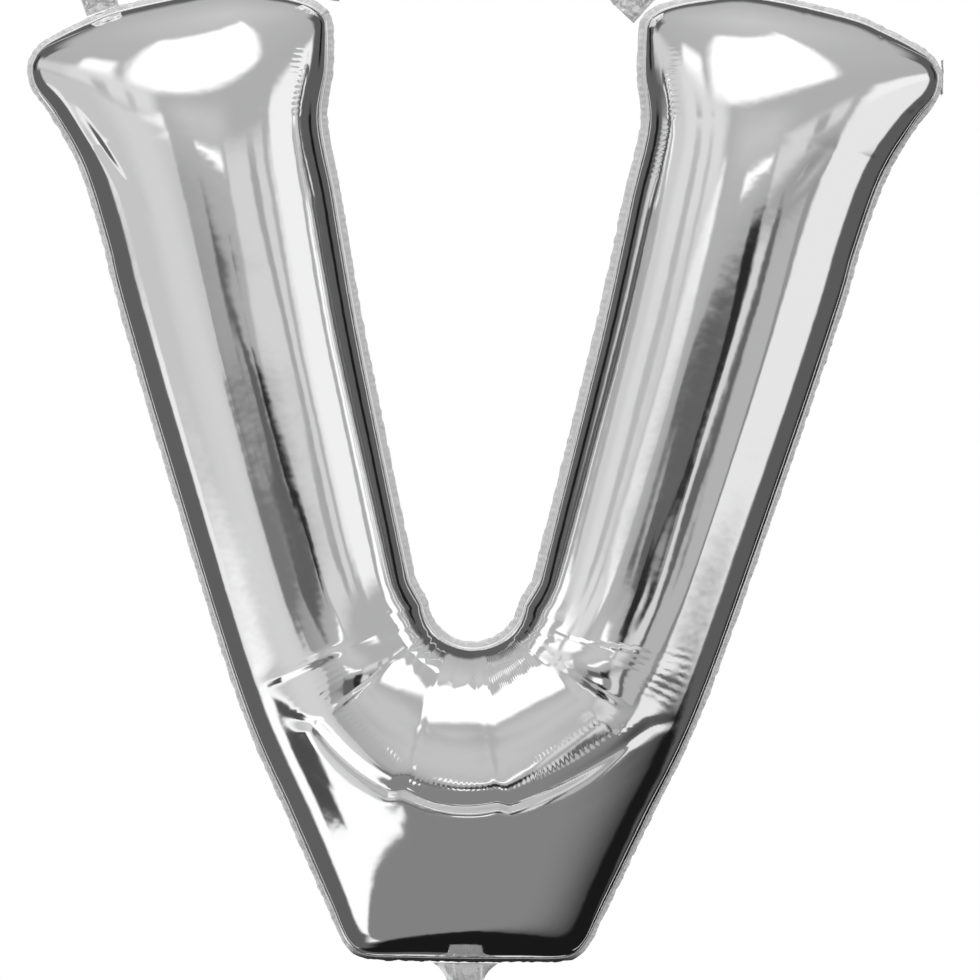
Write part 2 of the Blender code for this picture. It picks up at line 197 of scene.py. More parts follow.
# %% [markdown]
# ## The studio
# Foil is a mirror, so most of what is seen on the letter is the room: an overhead softbox, tall soft panels
# on both sides, dark flats between and behind them, and a grey floor. A room full of lamp objects would work,
# but soft panels painted on the surrounding sphere give smoother light, and each is placed by the direction
# that it comes from. Turn is the direction's angle round the vertical, 0 towards the camera and positive to
# the right, and rise its angle above the horizon, both in degrees. A panel covers what stands before it in
# the list, as a flat that is set up later stands in front. The room without panels only gets lighter from
# the floor to the ceiling. The camera itself sees plain white.
# %% Studio light
ROOM = ((-90.0, 0.24), (-20.0, 0.24), (-6.0, 0.34), (4.0, 0.46), (30.0, 0.46), (60.0, 0.50), (90.0, 0.62))
STUDIO_PANELS = (
    # turn from, to; rise from, to; how the rise tilts with the turn; brightness; softness across and up
    ("dark floor at the right", 80.0, 200.0, -95.0, -21.0, 0.0, 0.01, 45.0, 2.0),
    ("dark floor behind", -215.0, -135.0, -95.0, -38.0, 0.0, 0.01, 8.0, 6.0),
    ("white floor panel, left", -128.0, -27.0, -47.0, -8.0, 0.43, 1.1, 2.0, 2.0),
    ("flat behind, right", 106.0, 190.0, -60.0, 46.0, 0.0, 0.11, 3.0, 6.0),
    ("flat behind, left", -190.0, -106.0, -60.0, 46.0, 0.0, 0.12, 3.0, 6.0),
    ("black edge, right", 142.0, 190.0, -32.0, -4.0, 0.0, 0.01, 4.0, 4.0),
    ("black floor behind, right", 102.0, 190.0, -95.0, -21.0, 0.0, 0.01, 4.0, 1.5),
    ("black floor behind, left", -190.0, -150.0, -95.0, -42.0, 0.0, 0.01, 6.0, 2.0),
    ("black line, inner right", 124.0, 131.0, 4.0, 26.0, 0.0, 0.01, 1.5, 3.0),
    ("black line, inner left", -133.0, -126.0, 4.0, 26.0, 0.0, 0.01, 1.5, 3.0),
    ("overhead softbox", -44.0, 42.0, 29.0, 71.0, 0.16, 1.25, 5.0, 3.0),
    ("small softbox, left", -70.0, -51.0, 14.0, 39.0, 0.0, 1.15, 3.0, 4.0),
    ("grey wall, left", -106.0, -26.0, -19.0, 6.0, 0.0, 0.60, 2.0, 3.0),
    ("bright edge, left", -106.0, -97.0, -20.0, -13.0, 0.0, 0.9, 1.5, 2.0),
    ("lighter part of the wall", -62.0, -34.0, -19.0, 6.0, 0.0, 0.69, 10.0, 3.0),
    ("dark gap, left", -90.0, -67.0, -27.5, -22.0, 0.0, 0.07, 2.0, 0.8),
    ("tall softbox, right", 55.0, 105.0, -21.0, 13.0, 0.0, 0.86, 2.0, 3.0),
    ("white strip, high right", 59.0, 104.0, 6.0, 19.0, 0.0, 0.95, 2.5, 3.0),
    ("light strip, right", 14.0, 50.0, 3.5, 13.0, 0.12, 0.70, 1.5, 3.0),
    ("pale strip, high left", -118.0, -72.0, 8.0, 26.0, 0.0, 0.66, 3.0, 6.0),
    ("white strip, high left", -76.0, -30.0, 8.0, 26.0, 0.0, 0.76, 5.0, 6.0),
    ("grey gap in it", -62.0, -55.0, 8.0, 18.0, 0.0, 0.50, 2.0, 4.0),
    ("second grey gap", -46.0, -42.0, 8.0, 18.0, 0.0, 0.55, 1.5, 4.0),
    ("grey gap, high right", 34.0, 41.0, 4.0, 13.0, 0.0, 0.40, 1.5, 3.0),
    ("grey flat, left of middle", -32.0, -9.0, -16.0, -8.0, 0.2, 0.19, 2.0, 1.0),
    ("mid flat", -9.5, 8.0, -8.5, -1.0, -0.20, 0.12, 1.5, 1.5),
    ("dark flat, middle", 5.0, 14.5, -7.0, 0.6, -0.10, 0.02, 1.0, 1.2),
    ("light slot", 16.0, 24.5, -14.0, -3.0, -0.2, 0.70, 0.8, 1.5),
    ("dark slot", 25.5, 29.5, -15.0, -3.0, -0.2, 0.12, 0.8, 1.5),
    ("pale slot", 30.5, 48.0, -18.0, -6.0, -0.1, 0.48, 1.0, 1.5),
    ("glow behind the camera", -20.0, 16.0, 10.0, 22.0, 0.0, 0.58, 11.0, 6.0),
    ("small lamp", -8.0, 11.0, 6.4, 8.6, 0.0, 1.2, 1.5, 0.7),
    ("low lamp", -5.0, 6.0, -13.5, -8.8, 0.0, 1.1, 1.5, 0.8),
    ("strip straight behind, right", 172.0, 185.0, -30.0, 6.0, 0.0, 0.85, 1.5, 3.0),
    ("strip straight behind, left", -185.0, -172.0, -30.0, 6.0, 0.0, 0.85, 1.5, 3.0),
    ("softbox behind, right", 160.0, 190.0, 6.0, 17.0, 0.0, 1.1, 2.0, 2.0),
    ("softbox behind, left", -190.0, -160.0, 6.0, 17.0, 0.0, 1.1, 2.0, 2.0),
    ("slot behind, right", 148.5, 151.0, -40.0, 40.0, 0.0, 0.7, 0.6, 3.0),
    ("slot behind, left", -152.0, -149.5, -40.0, 40.0, 0.0, 0.7, 0.6, 3.0),
)


def build_studio():
    world = bpy.data.worlds.new("studio")
    world.use_nodes = True
    bpy.context.scene.world = world
    studio = Maker(world.node_tree)
    direction = studio.node("ShaderNodeTexCoord")
    x, y, z = (studio.node("ShaderNodeSeparateXYZ", {}, {0: direction}, output=k) for k in range(3))
    turn = studio.node("ShaderNodeMath", {"operation": "ARCTAN2"}, {0: x, 1: 0.0 - y}) * (180.0 / pi)
    rise = studio.node("ShaderNodeMath", {"operation": "ARCSINE"}, {0: z}) * (180.0 / pi)
    stops = [((angle + 90.0) / 180.0, tone) for angle, tone in ROOM]
    room = studio.node("ShaderNodeValToRGB", {"stops": stops}, {"Fac": (rise + 90.0) / 180.0})
    tone = studio.node("ShaderNodeSeparateXYZ", {}, {0: room})
    for _, left, right, low, high, tilt, level, soft_turn, soft_rise in STUDIO_PANELS:
        raised = rise - (turn - 0.5 * (left + right)) * tilt if tilt else rise
        across = studio.between(turn, left, right, soft_turn, 180.0)
        mask = across * studio.between(raised, low, high, soft_rise, 90.0 if not tilt else 360.0)
        tone = studio.node("ShaderNodeMath", {"operation": "MULTIPLY_ADD"},
                           {0: mask, 1: level - tone, 2: tone})
    seen = studio.node("ShaderNodeLightPath")
    light = studio.node("ShaderNodeBackground", {}, {"Color": tone, "Strength": 1.0})
    plain = studio.node("ShaderNodeBackground", {}, {"Color": (1.0, 1.0, 1.0, 1.0), "Strength": 1.0})
    shown = studio.node("ShaderNodeMixShader", {}, {0: seen, 1: light, 2: plain})
    studio.finish("ShaderNodeOutputWorld", shown)


build_studio()
bpy.context.scene.view_settings.view_transform = "Standard"
print("studio panels", len(STUDIO_PANELS))

# %% [markdown]
# The floor is a plain pale disc some way under the hanging letter. The foil's reflections don't show it,
# because the painted room already has its own floor.
# %% Pale floor
FLOOR_HEIGHT = -0.10
FLOOR_RADIUS = 1.1
FLOOR_TONE = (0.95, 0.95, 0.95, 1.0)
floor_mesh = bmesh.new()
bmesh.ops.create_circle(floor_mesh, cap_ends=True, segments=96, radius=FLOOR_RADIUS,
                        matrix=Matrix.Translation((0.0, 0.0, FLOOR_HEIGHT)))
floor_data = bpy.data.meshes.new("floor")
floor_mesh.to_mesh(floor_data)
floor_mesh.free()
floor = placed("floor", floor_data)
floor_finish = bpy.data.materials.new("pale_floor")
floor_finish.use_nodes = True
floor_shader = floor_finish.node_tree.nodes["Principled BSDF"]
floor_shader.inputs["Base Color"].default_value = FLOOR_TONE
floor_shader.inputs["Roughness"].default_value = 0.8
floor_data.materials.append(floor_finish)
floor.visible_glossy = False
print("floor", 2.0 * FLOOR_RADIUS, "m across")

# %% [markdown]
# ## The letter's outline
# The photograph gives the outline: it was measured from the bottom of the letter up, on the right half, and
# the left half mirrors it. A curve through a few points keeps the numbers readable, and the small corners
# stay as round as the real ones. The weld line lies one margin inside the outer edge. The margin is broader
# in the notch than round the outside, and it changes over along the top edge. The whole letter sways a
# little to the right as a soft balloon does.
# %% Outline and weld line
NOTCH_CENTRE_HEIGHT = 0.322
NOTCH_RADIUS = 0.040
INNER_MARGIN, OUTER_MARGIN = 0.006, 0.004
BOTTOM_SEAM = ((0.0, 0.0), (0.045, 0.0005), (0.0885, 0.002))
BOTTOM_CORNER = ((0.107, 0.0145), (0.1235, 0.048))
OUTER_LEG = ((0.1592, 0.125), (0.2070, 0.232), (0.2800, 0.451), (0.3205, 0.581), (0.3330, 0.628))
OUTER_HEAD = ((0.3545, 0.693), (0.3800, 0.739), (0.3975, 0.764))
OUTER_CORNER = ((0.4020, 0.784), (0.3975, 0.798), (0.3860, 0.808))
TOP_EDGE = ((0.3546, 0.8245), (0.3182, 0.839), (0.2350, 0.8565), (0.1850, 0.853), (0.1550, 0.846))
INNER_CORNER = ((0.1410, 0.838), (0.1365, 0.826))
INNER_HEAD = ((0.1345, 0.785), (0.1380, 0.740))
INNER_LEG = ((0.1250, 0.678), (0.1165, 0.6335), (0.0994, 0.548), (0.0665, 0.4024), (0.0510, 0.3356))
SWAY = 0.0105


def smooth_line(points, spacing=0.001):
    """Evenly spaced points on a smooth curve through a few given ones."""
    p = np.array(points, float)
    p = np.vstack([2 * p[0] - p[1], p, 2 * p[-1] - p[-2]])
    dense = []
    for a, b, c, d in zip(p, p[1:], p[2:], p[3:]):
        for t in np.linspace(0.0, 1.0, 40, endpoint=False):
            dense.append(0.5 * (2 * b + (c - a) * t + (2 * a - 5 * b + 4 * c - d) * t**2
                                + (3 * b - a - 3 * c + d) * t**3))
    dense.append(p[-2])
    dense = np.array(dense)
    reach = np.concatenate([[0], np.cumsum(np.linalg.norm(np.diff(dense, axis=0), axis=1))])
    places = np.linspace(0.0, reach[-1], int(reach[-1] / spacing) + 2)
    return np.column_stack([np.interp(places, reach, dense[:, k]) for k in (0, 1)])


def moved_inwards(line, near, far):
    """The curve moved to the left of its own direction, by near at its start and by far at its end."""
    along = np.gradient(line, axis=0)
    along /= np.linalg.norm(along, axis=1)[:, None]
    distance = np.linspace(near, far, len(line))[:, None]
    return line + distance * np.column_stack([-along[:, 1], along[:, 0]])


def share_of_length(line, shares):
    """Points at the given shares of a curve's length."""
    reach = np.concatenate([[0], np.cumsum(np.linalg.norm(np.diff(line, axis=0), axis=1))])
    return np.column_stack([np.interp(np.asarray(shares) * reach[-1], reach, line[:, k]) for k in (0, 1)])


outer_line, top_line, inner_line = (moved_inwards(smooth_line(points), near, far) for points, near, far in (
    (BOTTOM_SEAM + BOTTOM_CORNER + OUTER_LEG + OUTER_HEAD + OUTER_CORNER[:2], OUTER_MARGIN, OUTER_MARGIN),
    (OUTER_CORNER[1:] + TOP_EDGE + INNER_CORNER[:1], OUTER_MARGIN, INNER_MARGIN),
    (INNER_CORNER + INNER_HEAD + INNER_LEG, INNER_MARGIN, INNER_MARGIN)))
print("weld points on the right half", len(outer_line) + len(top_line) + len(inner_line))

# %% [markdown]
# ## Ribs across the skin
# Both sheets get one regular grid: its rows are ribs that run from the weld on the notch side to the outer
# weld. They fan out round the bottom of the notch, and cross the legs above it. A grid like that follows the
# way the film is pulled, so long creases lie along its columns and short puckers along its rows. The columns
# crowd towards the welds, where the skin turns fastest.
# %% The grid
FAN_STEP = 0.8125
FAN_STEPS = 100
LEG_STEPS = 185
ACROSS_STEPS = 168


def half_grid():
    centre = np.array([0.0, NOTCH_CENTRE_HEIGHT])
    angles = np.degrees(np.arctan2(outer_line[:, 0], NOTCH_CENTRE_HEIGHT - outer_line[:, 1]))
    fan = []
    for step in range(FAN_STEPS + 1):
        angle = step * FAN_STEP
        away = np.array([sin(radians(angle)), -cos(radians(angle))])
        far = np.array([np.interp(angle, angles, outer_line[:, k]) for k in (0, 1)])
        fan.append((centre + (NOTCH_RADIUS + INNER_MARGIN) * away, far))
    fan[0][1][0] = 0.0
    inner_up = inner_line[::-1]
    first_outer = np.argmin(np.linalg.norm(outer_line - fan[-1][1], axis=1)) + 1
    first_inner = np.argmin(np.linalg.norm(inner_up - fan[-1][0], axis=1)) + 1
    shares = 1.0 - (1.0 - np.linspace(0.0, 1.0, LEG_STEPS + 1)) ** 1.5
    near_line = share_of_length(np.vstack([fan[-1][0], inner_up[first_inner:]]), shares)
    far_line = share_of_length(np.vstack([fan[-1][1], outer_line[first_outer:]]), shares)
    across = 0.5 * (1.0 - np.cos(np.linspace(0.0, pi, ACROSS_STEPS + 1)))
    crown = share_of_length(top_line[::-1], across)
    last = near_line[-1] + np.outer(across, far_line[-1] - near_line[-1])
    rows = [near + np.outer(across, far - near) for near, far in fan]
    for share, near, far in zip(shares[1:], near_line[1:], far_line[1:]):
        rows.append(near + np.outer(across, far - near) + share**8 * (crown - last))
    return np.array(rows)


places = half_grid()
print("half grid", places.shape[:2], "quads in a sheet", 2 * (places.shape[0] - 1) * (places.shape[1] - 1))

# %% [markdown]
# ## Filling it with gas
# A slack film blown up between two welded edges takes the shape that a soap film over the same outline would
# hint at: it rises fastest at the weld, goes round like a tube in the legs, and is deepest where three arms
# meet. The rise is found by solving one equation on the grid, as for a stretched skin under even pressure,
# and taking a square root, which makes every straight stretch a true half circle.
# %% The gas-filled shape
MOST_STEPS = 4000
SMALL_ENOUGH = 1e-14


def half_cotangent(p, q, apex):
    u, v = p - apex, q - apex
    return 0.5 * np.sum(u * v, -1) / np.abs(u[..., 0] * v[..., 1] - u[..., 1] * v[..., 0])


def blown_up(grid):
    """Height of the film over each grid point: welded at three sides, mirrored at the first row."""
    a, b, c, d = grid[:-1, :-1], grid[1:, :-1], grid[1:, 1:], grid[:-1, 1:]
    down, across = np.zeros(grid.shape[:2]), np.zeros(grid.shape[:2])
    down[:-1, :-1] += half_cotangent(a, b, c)
    down[:-1, 1:] += half_cotangent(d, c, a)
    across[:-1, :-1] += half_cotangent(a, d, c)
    across[1:, :-1] += half_cotangent(b, c, a)
    slanted = half_cotangent(a, c, b) + half_cotangent(a, c, d)
    load, total = np.zeros(grid.shape[:2]), np.zeros(grid.shape[:2])
    for p, q, r, corners in ((a, b, c, "abc"), (a, c, d, "acd")):
        u, v = q - p, r - p
        third = np.abs(u[..., 0] * v[..., 1] - u[..., 1] * v[..., 0]) / 6.0
        for corner in corners:
            i, j = {"a": (0, 0), "b": (1, 0), "c": (1, 1), "d": (0, 1)}[corner]
            load[i:i + third.shape[0], j:j + third.shape[1]] += third
    free = np.ones(grid.shape[:2])
    free[:, 0] = free[:, -1] = free[-1] = 0.0

    def pull(h):
        out = np.zeros_like(h)
        flow = down[:-1] * (h[:-1] - h[1:])
        out[:-1] += flow
        out[1:] -= flow
        flow = across[:, :-1] * (h[:, :-1] - h[:, 1:])
        out[:, :-1] += flow
        out[:, 1:] -= flow
        flow = slanted * (h[:-1, :-1] - h[1:, 1:])
        out[:-1, :-1] += flow
        out[1:, 1:] -= flow
        return out * free

    total[:-1] += down[:-1]
    total[1:] += down[:-1]
    total[:, :-1] += across[:, :-1]
    total[:, 1:] += across[:, :-1]
    total[:-1, :-1] += slanted
    total[1:, 1:] += slanted
    film, rest = np.zeros_like(load), load * free
    scaled = rest / total
    step, strength = scaled.copy(), np.sum(rest * scaled)
    start = strength
    for turn in range(MOST_STEPS):
        pulled = pull(step)
        size = strength / np.sum(step * pulled)
        film += size * step
        rest -= size * pulled
        scaled = rest / total
        following = np.sum(rest * scaled)
        if following < SMALL_ENOUGH * start:
            break
        step = scaled + (following / strength) * step
        strength = following
    print("film solved in", turn, "steps")
    return np.sqrt(2.0 * np.maximum(film, 0.0))


rise = blown_up(places)
print("half depth of the base", round(rise[0].max(), 4), "m")

# %% [markdown]
# The solver leaves the wide places a little too full for a film that can't stretch. Its heights are taken down
# by about a seventh at the base and by a twentieth higher up, to the depths that the CAD gives them. The left
# half is the right half mirrored, and both together make one grid from the left head to the right one.
# %% Depths of base and legs, and both halves as one grid
BASE_SHARE, LEG_SHARE = 0.85, 0.95
BASE_TOP, LEG_START = 0.16, 0.42


def eased(value, low, high):
    t = np.clip((value - low) / (high - low), 0.0, 1.0)
    return t * t * (3.0 - 2.0 * t)


rise = rise * (BASE_SHARE + (LEG_SHARE - BASE_SHARE) * eased(places[..., 1], BASE_TOP, LEG_START))
rise = np.concatenate([rise[:0:-1], rise])
plan = np.concatenate([places[:0:-1] * (-1.0, 1.0), places])
ROWS, COLUMNS = rise.shape
print("grid", ROWS, "x", COLUMNS, "deepest", round(rise.max(), 4))

# %% [markdown]
# ## Where each point lies
# Every fold is placed by a few simple measures of a point: its distance and angle from the notch's centre
# for the fan of folds under the notch, its height for what happens up the legs, its turn round the tube from
# one weld to the other, and its running length along the letter, on which the little ticks count.
# %% Measures of every point
across_x, up_z = plan[..., 0], plan[..., 1]
from_notch = np.hypot(across_x, up_z - NOTCH_CENTRE_HEIGHT)
fan_angle = np.degrees(np.arctan2(across_x, NOTCH_CENTRE_HEIGHT - up_z))
turn_round = np.broadcast_to(np.linspace(0.0, 180.0, COLUMNS), rise.shape)
middle = plan[:, COLUMNS // 2]
running = np.concatenate([[0.0], np.cumsum(np.linalg.norm(np.diff(middle, axis=0), axis=1))])
running -= running[ROWS // 2]
running = np.broadcast_to(running[:, None], rise.shape)
is_right = across_x > 0.0
print("running length from end to end", round(2 * running.max(), 3), "m")


def window(value, low, high, soft):
    return eased(value, low - soft, low + soft) * (1.0 - eased(value, high - soft, high + soft))


def hills(a, b, seed):
    """Smooth random hills between -1 and 1, one per unit square, the same on every run."""
    table = np.random.default_rng(seed).uniform(-1.0, 1.0, (128, 128))
    i, j = np.floor(a).astype(int), np.floor(b).astype(int)
    u, v = a - i, b - j
    u, v = (t * t * t * (t * (6.0 * t - 15.0) + 10.0) for t in (u, v))
    pick = lambda p, q: table[(i + p) % 128, (j + q) % 128]
    return ((pick(0, 0) * (1 - u) + pick(1, 0) * u) * (1 - v) + (pick(0, 1) * (1 - u) + pick(1, 1) * u) * v)


# %% [markdown]
# ## The fan of folds under the notch
# On the inside of the bend the film has too much length. Film can bend but not stretch, so it doesn't turn
# the corner in a smooth sweep: it goes round in straight pieces, like a stove pipe made of mitred sections.
# Each section is curved only away from the notch, and neighbours meet in a crease. In numbers, a point's
# distance from the notch is replaced by its distance along the direction of the section it lies in, and the
# height is looked up there. The directions were read from the way the reflections run in the photograph.
# %% Mitred sections of the fan
SECTIONS = (-72.4, -64.0, -38.0, -7.0, 29.0, 66.0, 73.0)
MITRE_START = (0.047, 0.066)
MITRE_END = (0.172, 0.200)


def mitred(height):
    """The height looked up along each section's own direction instead of straight from the notch."""
    angle = np.radians(fan_angle)
    share = np.max([np.cos(angle - radians(way)) for way in SECTIONS], axis=0)
    share = np.where(np.abs(fan_angle) > abs(SECTIONS[0]), 1.0, share)
    held = eased(from_notch, *MITRE_START) * (1.0 - eased(from_notch, *MITRE_END))
    nearer = from_notch * (1.0 + (share - 1.0) * held)
    out = height.copy()
    first = ROWS // 2 - FAN_STEPS
    for row in range(first, first + 2 * FAN_STEPS + 1):
        out[row] = np.interp(nearer[row], from_notch[row], height[row])
    return out


# %% [markdown]
# Each section also swells a little between its creases, which stand up as fine ridges, and ends on the crest
# of the base in a rounded foot. The foot is a row of low folds that lie across the section's direction, given
# as heights at a few distances and bowed down in the middle of the section, where it bulges.
# %% Swelling and foot of each section
MIDDLE_SECTIONS = SECTIONS[2:5]
along_section = from_notch * np.max([np.cos(np.radians(fan_angle - way)) for way in MIDDLE_SECTIONS], axis=0)
# Angle of each crease near the notch and at its far end, and how far it reaches
CREASES = ((-69.0, -67.0, 0.205), (-51.5, -50.5, 0.176), (-24.0, -18.5, 0.184),
           (6.0, 8.0, 0.176), (52.0, 55.0, 0.170), (67.0, 74.0, 0.192))
SWELL = 0.0010
CREASE_RIDGE, RIDGE_HALF_WIDTH = 0.0005, 0.0024
FOOT_BOW = 0.0075
# Distance from the notch's centre along the section, and height
FOOT = ((0.070, 0.0), (0.100, -0.0011), (0.122, -0.0017), (0.140, -0.0008), (0.155, 0.0006),
        (0.163, 0.0013), (0.168, 0.0012), (0.172, 0.0004), (0.178, -0.0018), (0.180, -0.0018),
        (0.186, 0.0004), (0.190, 0.0008), (0.205, 0.0))
FOOT_ANGLES = (-52.0, 56.0)


def fan_swelling():
    reach = eased(from_notch, 0.06, 0.17)
    lines = [near + (far - near) * reach for near, far, _ in CREASES]
    relief, bowed = np.zeros_like(rise), np.zeros_like(rise)
    for k, (left, right) in enumerate(zip(lines, lines[1:])):
        _, left_far, left_end = CREASES[k]
        _, right_far, right_end = CREASES[k + 1]
        share = np.clip((fan_angle - left) / (right - left), 0.0, 1.0)
        inside = (fan_angle > left) & (fan_angle <= right)
        gap = np.radians(right_far - left_far)
        part = share * gap
        chord = left_end * right_end * np.sin(gap)
        chord = chord / (left_end * np.sin(part) + right_end * np.sin(gap - part))
        out = from_notch / (chord * (1.0 + 0.10 * share * (1.0 - share)))
        arch = 4.0 * share * (1.0 - share)
        beside = np.minimum(share, 1.0 - share) * gap * from_notch
        ridge = CREASE_RIDGE * np.exp(-((beside / RIDGE_HALF_WIDTH) ** 2))
        ridge = ridge * window(from_notch, 0.075, 0.160, 0.012) * (abs(left_far) < 60.0)
        height = SWELL * arch * window(out, 0.40, 0.98, 0.05) + ridge
        bowed = np.where(inside, FOOT_BOW * (1.0 - arch), bowed)
        relief += np.where(inside, height, 0.0)
    foot = np.interp(along_section + bowed, *zip(*FOOT)) * window(fan_angle, *FOOT_ANGLES, 5.0)
    return relief + foot


# %% [markdown]
# Near the weld of the notch the gathers are finer: a ring of small facets, each about a centimetre wide.
# %% Ring of small gathers round the notch
GATHER_PITCH = 11.0
GATHER_HEIGHT = 0.0011


def notch_gathers():
    inside = window(from_notch, 0.050, 0.078, 0.006) * (1.0 - eased(np.abs(fan_angle), 80.0, 95.0))
    shifted = fan_angle + 4.0 * hills(fan_angle / 17.0, from_notch * 0.0, 3)
    return GATHER_HEIGHT * inside * (np.abs(np.sin(np.pi * shifted / GATHER_PITCH)) - 0.4)


# %% [markdown]
# ## Long ripples down the legs
# The film of a leg is drawn lengthwise between the head and the fan, and goes into long, shallow ripples.
# They are only a fraction of a millimetre deep, but on a mirror they cut every reflection into streaks. Random
# hills are stretched far along the leg and narrow across it, in three widths.
# %% Leg ripples
# Width in degrees round the tube, length, height, seed
RIPPLES = ((15.0, 0.26, 0.00050, 11), (8.0, 0.20, 0.00024, 12), (4.5, 0.15, 0.00009, 13))


def leg_ripples():
    mid_leg = window(up_z, 0.30, 0.60, 0.07) * (1.0 - 0.9 * (np.abs(fan_angle) < 66.0))
    centre = np.exp(-(((turn_round - 95.0) / 38.0) ** 2))
    side = np.where(is_right, 40.0, 0.0)
    more = np.where(is_right, 1.7, 1.1)
    ripples = sum(height * hills(turn_round / wide + side, running / length, seed)
                  for wide, length, height, seed in RIPPLES)
    return mid_leg * centre * more * ripples


# %% [markdown]
# ## Waists and weld puckers
# Where the head flares out of the leg the weld turns a corner, and the film is pulled into a short crease at
# each side. All along the welds the curve of the edge gathers the film into shallow scallops.
# %% Waists and weld puckers
WAISTS = (
    # right half, on the notch side, height at the weld, climb per degree of turn, depth, reach in degrees
    (False, True, 0.741, 0.0, 0.0012, 42.0), (False, False, 0.700, 0.00030, 0.0020, 50.0),
    (True, True, 0.741, 0.0, 0.0014, 48.0), (True, False, 0.696, 0.00033, 0.0022, 52.0),
)
WAIST_HALF_WIDTH = 0.007
PUCKER_PITCH = 0.019
PUCKER_HEIGHT = 0.0006
PUCKER_PLACE, PUCKER_REACH = 14.0, 12.0


def waist_creases():
    relief = np.zeros_like(rise)
    for right_half, notch_side, height, climb, deep, reach in WAISTS:
        here = is_right if right_half else ~is_right
        far = turn_round if notch_side else 180.0 - turn_round
        away = np.abs(up_z - height - climb * far)
        crease = deep * np.exp(-((far / reach) ** 2)) * np.exp(-away / WAIST_HALF_WIDTH)
        relief -= np.where(here, crease, 0.0)
    return relief


def weld_puckers():
    edge = np.minimum(turn_round, 180.0 - turn_round)
    near = np.exp(-(((edge - PUCKER_PLACE) / PUCKER_REACH) ** 2))
    phase = running / PUCKER_PITCH + 0.8 * hills(running / 0.05, turn_round * 0.0, 21)
    uneven = hills(running / 0.045, np.where(turn_round > 90.0, 50.5, 10.5), 22)
    strength = 0.35 + 0.65 * (0.5 + 0.5 * uneven)
    return -PUCKER_HEIGHT * near * strength * np.abs(np.sin(np.pi * phase)) ** 0.8


# %% [markdown]
# ## Single folds
# A few folds lie alone where the film was creased before it was filled: one runs down from the left outer
# corner, one lies under the right waist, one crosses the foot of the left leg, and three short ones start at
# the top weld of the right head. Each is a groove or a ridge with a round section that fades at both ends.
# %% Single folds
FOLDS = (
    # start and end (across, up), half width, depth or minus the height, how far along it is deepest
    ((-0.3720, 0.7650), (-0.2870, 0.6450), 0.0042, 0.0032, 0.50),
    ((0.3083, 0.7270), (0.2579, 0.6605), 0.0045, 0.0009, 0.4),
    ((-0.1980, 0.2370), (-0.1000, 0.2820), 0.0036, -0.0014, 0.55),
    ((0.2232, 0.8493), (0.2236, 0.8230), 0.0022, 0.0008, 0.1),
    ((0.2803, 0.8429), (0.2775, 0.8180), 0.0022, 0.0009, 0.1),
    ((0.3511, 0.8243), (0.3440, 0.8040), 0.0022, 0.0009, 0.1),
)


def long_folds():
    relief = np.zeros_like(rise)
    for start, end, half_width, deep, peak in FOLDS:
        way = np.subtract(end, start)
        length = np.hypot(*way)
        way = way / length
        dx, dz = across_x - start[0], up_z - start[1]
        along = (dx * way[0] + dz * way[1]) / length
        side = (dx * way[1] - dz * way[0]) / half_width
        strength = eased(along, 0.0, peak) * (1.0 - eased(along, peak, 1.0))
        relief -= deep * strength * np.exp(-side * side)
    return relief


# %% [markdown]
# ## All folds together
# The left leg is a little flatter under its head. The folds are added to the filled shape and fade out at the
# welds, where the film is held flat. The back sheet gets them the other way round, so that it isn't a copy.
# %% Height of both sheets
LEFT_DIP = 0.0016
LEFT_DIP_SPAN = (0.56, 0.70, 0.05)
FULL_FOLD_HEIGHT = 0.02

dip = np.where(is_right, 0.0, LEFT_DIP) * window(up_z, *LEFT_DIP_SPAN)
rise = mitred(rise) - dip * np.sin(np.radians(turn_round))
relief = fan_swelling() + notch_gathers() + leg_ripples() + waist_creases() + weld_puckers() + long_folds()
held = np.clip(np.sin(np.radians(turn_round)) ** 0.5 * eased(rise, 0.0, FULL_FOLD_HEIGHT), 0.0, 1.0)
front_rise = rise + relief * held
back_rise = rise + relief[::-1] * held
print("deepest fold", round(relief.min() * 1000, 2), "mm, highest", round(relief.max() * 1000, 2), "mm")

# %% [markdown]
# ## Foil
# The finish is vacuum-coated film: a metal with very little roughness. Faint waviness of the film goes into
# the normal. The ticks across the welds and the pillows, each a couple of millimetres wide, are a wave on the
# running length, switched on by an attribute where the photograph shows them. They could be shape on a much
# finer grid, but as a bump they cost next to nothing.
# %% Foil finish
FILM_WAVINESS = 0.00016
TICK_PITCH, TICK_HEIGHT, TICK_WANDER = 0.0052, 0.00045, 0.0022
GRAIN_HEIGHT = 0.0000015


def foil(name, colour, roughness, wave_strength):
    made, maker, place = new_finish(name)
    film = maker.noise(place, 42.0, 2.0)
    grain = maker.noise(place, 900.0, 1.0)
    along, ticked = maker.stored("running"), maker.stored("ticks")
    wander = maker.noise(place, 160.0, 1.0)
    phase = (along + wander * TICK_WANDER) * (tau / TICK_PITCH)
    wave = maker.node("ShaderNodeMath", {"operation": "SINE"}, {0: phase})
    height = film * FILM_WAVINESS * wave_strength + wave * ticked * TICK_HEIGHT + grain * GRAIN_HEIGHT
    shade = (film - 0.5) * 0.03
    darker = (*(c * 0.97 for c in colour), 1.0)
    base = maker.node("ShaderNodeMix", {"data_type": "RGBA"},
                      {0: (0.5 + shade * 4.0).clamped(), 6: darker, 7: (*colour, 1.0)}, output=2)
    surface = maker.node("ShaderNodeBsdfPrincipled", {}, {
        "Base Color": base, "Roughness": (roughness + shade * 0.8 + ticked * 0.05).clamped(),
        "Metallic": 1.0, "Normal": maker.bump(height)})
    maker.finish("ShaderNodeOutputMaterial", surface)
    return made


